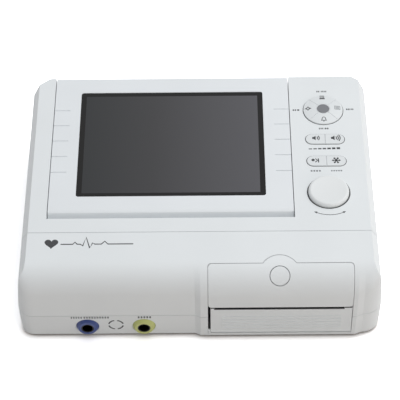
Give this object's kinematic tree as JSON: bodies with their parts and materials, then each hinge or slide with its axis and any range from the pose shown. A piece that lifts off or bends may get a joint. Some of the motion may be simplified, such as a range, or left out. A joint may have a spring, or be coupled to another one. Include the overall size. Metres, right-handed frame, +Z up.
{
  "type": "cardiotocograph",
  "caption": "Bench fetal heart and contraction monitor with a flip-up screen, key panel, dial, swing-down paper recorder and two round probe sockets.",
  "frame": {"origin": "on the table, under the middle of the housing's box", "axes": "+X to the operator's right, -Y towards the operator, +Z up"},
  "size_m": [0.334, 0.2584, 0.088],
  "materials": {
    "cover_plastic": "fine matt moulded",
    "screen_plastic": "fine matt moulded",
    "key_plastic": "satin moulded",
    "centre_key_plastic": "satin moulded",
    "dial_plastic": "satin moulded",
    "window_acrylic": "clear with dark printed border",
    "display_glass": "dark display",
    "circuit_board": "solder mask",
    "silicone": "matt",
    "black_rubber": "matt",
    "steel": "drawn and plated",
    "spring_steel": "spring strip",
    "blue_plastic": "satin",
    "green_plastic": "satin",
    "socket_metal": "nickel plated",
    "insert_plastic": "matt",
    "connector_plastic": "matt",
    "tray_plastic": "matt",
    "gear_plastic": "acetal",
    "motor_metal": "drawn can",
    "battery_wrap": "heat-shrink sleeve"
  },
  "bodies": {
    "root": {"top_cover": "cover_plastic", "front_cover": "cover_plastic", "base_shell": "cover_plastic", "hinge_shafts": "steel", "screen_bumpers": "black_rubber", "keypad_mat": "silicone", "keypad_board": "circuit_board", "encoder_body": "motor_metal", "door_hinge_pin": "steel", "latch_keeper": "spring_steel", "recorder_frame": "steel", "paper_tray": "tray_plastic", "platen_bushes": "gear_plastic", "idler_stud": "steel", "stepper_motor": "motor_metal", "socket_collar_blue": "blue_plastic", "socket_collar_green": "green_plastic", "socket_shells": "socket_metal", "socket_inserts": "insert_plastic", "mains_inlet": "connector_plastic", "network_port": "socket_metal", "feet": "black_rubber", "case_screws": "steel", "battery_door": "cover_plastic", "battery_pack": "battery_wrap", "main_board": "circuit_board", "power_supply": "circuit_board", "speaker": "connector_plastic"},
    "screen": {"screen_bezel": "screen_plastic", "screen_back": "screen_plastic", "screen_window": "window_acrylic", "lcd_panel": "display_glass", "screen_board": "circuit_board", "hinge_bushes": "gear_plastic"},
    "recorder_door": {"recorder_cover": "cover_plastic", "paper_apron": "cover_plastic", "print_head": "insert_plastic", "head_bracket": "steel", "latch_guide": "cover_plastic"},
    "latch": {"latch_button": "key_plastic"},
    "dial_plunger": {"encoder_pusher": "gear_plastic"},
    "dial": {"encoder_shaft": "steel", "dial_knob": "dial_plastic"},
    "platen": {"platen_roller": "black_rubber", "platen_shaft": "steel", "platen_gear": "gear_plastic"},
    "idler": {"idler_gear": "gear_plastic"},
    "pinion": {"pinion_gear": "steel", "motor_shaft": "steel"},
    "rocker": {"power_rocker": "connector_plastic"},
    "key_up_cap": {"key_up": "key_plastic"},
    "key_right_cap": {"key_right": "key_plastic"},
    "key_down_cap": {"key_down": "key_plastic"},
    "key_left_cap": {"key_left": "key_plastic"},
    "key_ok_cap": {"key_ok": "centre_key_plastic"},
    "key_volume_down_cap": {"key_volume_down": "key_plastic"},
    "key_volume_up_cap": {"key_volume_up": "key_plastic"},
    "key_event_cap": {"key_event": "key_plastic"},
    "key_freeze_cap": {"key_freeze": "key_plastic"}
  },
  "joints": [
    {"name": "screen_tilt", "type": "hinge", "parent": "root", "child": "screen", "pos_m": [-0.02645, -0.0419, 0.072], "axis": [1, 0, 0], "range_deg": [0, 60]},
    {"name": "recorder_door_swing", "type": "hinge", "parent": "root", "child": "recorder_door", "pos_m": [0.0732, -0.126, 0.0093], "axis": [1, 0, 0], "range_deg": [0, 75], "deforming": ["latch_keeper"]},
    {"name": "latch_press", "type": "slide", "parent": "recorder_door", "child": "latch", "axis": [0, 0.6293, -0.7771], "range_m": [0, 0.002], "stiffness_N_per_m": 900, "deforming": ["latch_keeper"]},
    {"name": "dial_push", "type": "slide", "parent": "root", "child": "dial_plunger", "axis": [0, 0, -1], "range_m": [0, 0.0008], "stiffness_N_per_m": 2000},
    {"name": "dial_turn", "type": "hinge", "parent": "dial_plunger", "child": "dial", "pos_m": [0.1204, -0.0247, 0.086], "axis": [0, 0, 1], "continuous": true},
    {"name": "platen_spin", "type": "hinge", "parent": "root", "child": "platen", "pos_m": [0.07225, -0.114, 0.0415], "axis": [1, 0, 0], "continuous": true},
    {"name": "idler_spin", "type": "hinge", "parent": "root", "child": "idler", "pos_m": [0.1336, -0.09412, 0.04994], "axis": [1, 0, 0], "continuous": true},
    {"name": "pinion_spin", "type": "hinge", "parent": "root", "child": "pinion", "pos_m": [0.1336, -0.07833, 0.05569], "axis": [1, 0, 0], "continuous": true},
    {"name": "power_switch", "type": "hinge", "parent": "root", "child": "rocker", "pos_m": [0.119, 0.1249, 0.06932], "axis": [1, 0, 0], "range_deg": [0, 12]},
    {"name": "key_up_press", "type": "slide", "parent": "root", "child": "key_up_cap", "axis": [0, 0, -1], "range_m": [0, 0.0008], "stiffness_N_per_m": 800},
    {"name": "key_right_press", "type": "slide", "parent": "root", "child": "key_right_cap", "axis": [0, 0, -1], "range_m": [0, 0.0008], "stiffness_N_per_m": 800},
    {"name": "key_down_press", "type": "slide", "parent": "root", "child": "key_down_cap", "axis": [0, 0, -1], "range_m": [0, 0.0008], "stiffness_N_per_m": 800},
    {"name": "key_left_press", "type": "slide", "parent": "root", "child": "key_left_cap", "axis": [0, 0, -1], "range_m": [0, 0.0008], "stiffness_N_per_m": 800},
    {"name": "key_ok_press", "type": "slide", "parent": "root", "child": "key_ok_cap", "axis": [0, 0, -1], "range_m": [0, 0.0008], "stiffness_N_per_m": 800},
    {"name": "key_volume_down_press", "type": "slide", "parent": "root", "child": "key_volume_down_cap", "axis": [0, 0, -1], "range_m": [0, 0.0008], "stiffness_N_per_m": 800},
    {"name": "key_volume_up_press", "type": "slide", "parent": "root", "child": "key_volume_up_cap", "axis": [0, 0, -1], "range_m": [0, 0.0008], "stiffness_N_per_m": 800},
    {"name": "key_event_press", "type": "slide", "parent": "root", "child": "key_event_cap", "axis": [0, 0, -1], "range_m": [0, 0.0008], "stiffness_N_per_m": 800},
    {"name": "key_freeze_press", "type": "slide", "parent": "root", "child": "key_freeze_cap", "axis": [0, 0, -1], "range_m": [0, 0.0008], "stiffness_N_per_m": 800}
  ],
  "couplings": [
    {"joint": "idler_spin", "follows": "platen_spin", "ratio": -0.8},
    {"joint": "pinion_spin", "follows": "platen_spin", "ratio": 2}
  ]
}
